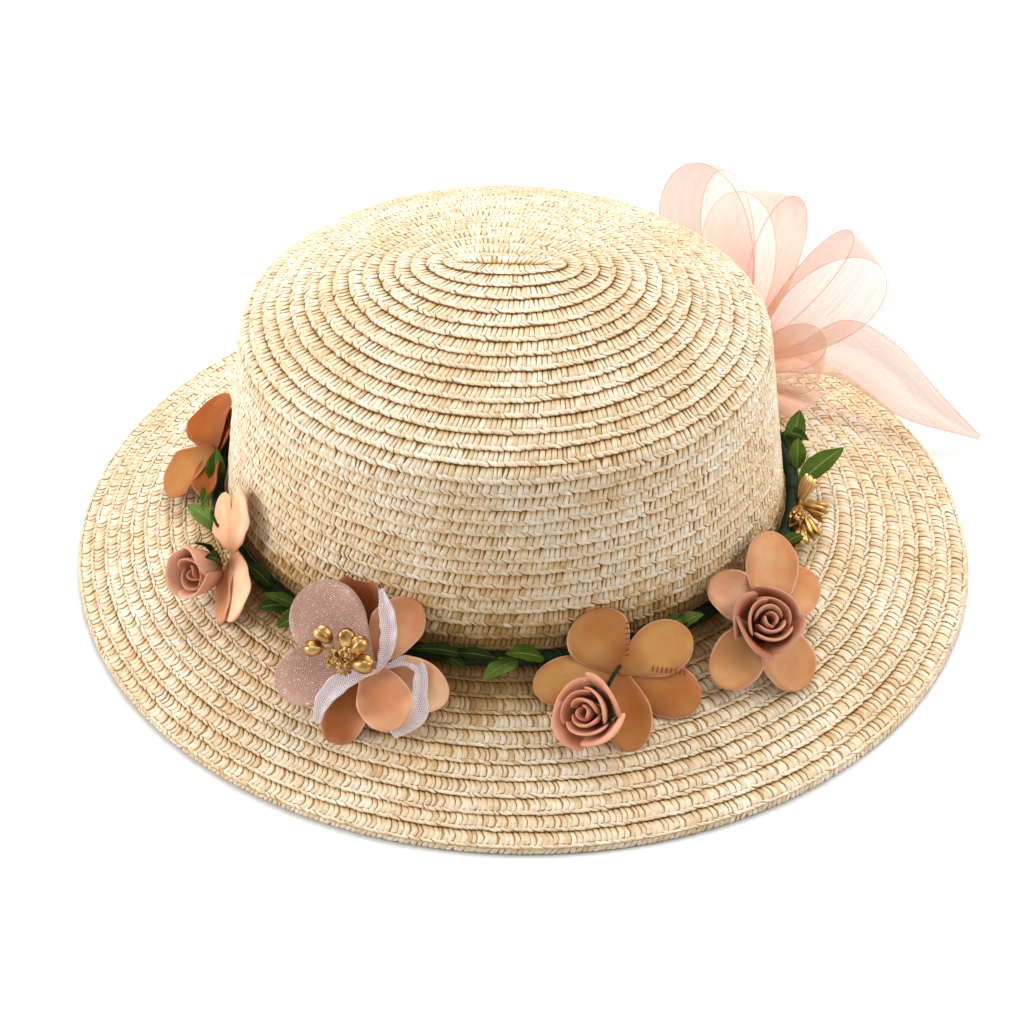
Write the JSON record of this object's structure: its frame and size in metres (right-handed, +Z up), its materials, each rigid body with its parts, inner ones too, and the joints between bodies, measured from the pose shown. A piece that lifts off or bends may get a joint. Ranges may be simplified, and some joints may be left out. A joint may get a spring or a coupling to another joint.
{
  "type": "wide-brim straw hat",
  "caption": "Stiff sewn straw hat with a flat-sided crown and sloping oval brim, trimmed with a garland of foam flowers and an organza bow.",
  "frame": {"origin": "On the surface that the brim's rim rests on, under the middle of the whole piece's bounding box", "axes": "+Z up through the crown; +X along the oval's length, towards the bow; -Y towards the front flowers"},
  "size_m": [0.3326, 0.2942, 0.1378],
  "materials": {
    "straw": "sewn paper-straw braid",
    "stem_tape": "matt taped stem",
    "leaf_cloth": "matt cloth",
    "foam_orange": "matt foam",
    "foam_peach": "matt foam",
    "foam_tan": "matt foam",
    "foam_rose": "matt foam",
    "gauze": "open glittered gauze",
    "gold": "gold lacquer",
    "organza": "sheer organza"
  },
  "bodies": {
    "root": {"crown": "straw", "brim": "straw", "garland_stem": "stem_tape", "flower_1_petals": "foam_orange", "flower_2_petals": "foam_peach", "flower_3_petals": "foam_peach", "flower_4_petals": "foam_tan", "flower_5_petals": "foam_tan", "flower_2_bud": "foam_rose", "flower_4_rose": "foam_rose", "flower_5_rose": "foam_rose", "flower_3_gauze": "gauze", "flower_3_stamens": "gold", "gold_pods": "gold", "leaf_01": "leaf_cloth", "leaf_02": "leaf_cloth", "leaf_03": "leaf_cloth", "leaf_04": "leaf_cloth", "leaf_05": "leaf_cloth", "leaf_06": "leaf_cloth", "leaf_07": "leaf_cloth", "leaf_08": "leaf_cloth", "leaf_09": "leaf_cloth", "leaf_10": "leaf_cloth", "leaf_11": "leaf_cloth", "leaf_12": "leaf_cloth", "leaf_13": "leaf_cloth", "leaf_14": "leaf_cloth", "leaf_15": "leaf_cloth", "leaf_16": "leaf_cloth", "bow_knot": "organza", "bow_loop_1": "organza", "bow_loop_2": "organza", "bow_loop_3": "organza", "bow_loop_4": "organza", "bow_tail_long": "organza", "bow_tail_short": "organza"}
  },
  "joints": []
}
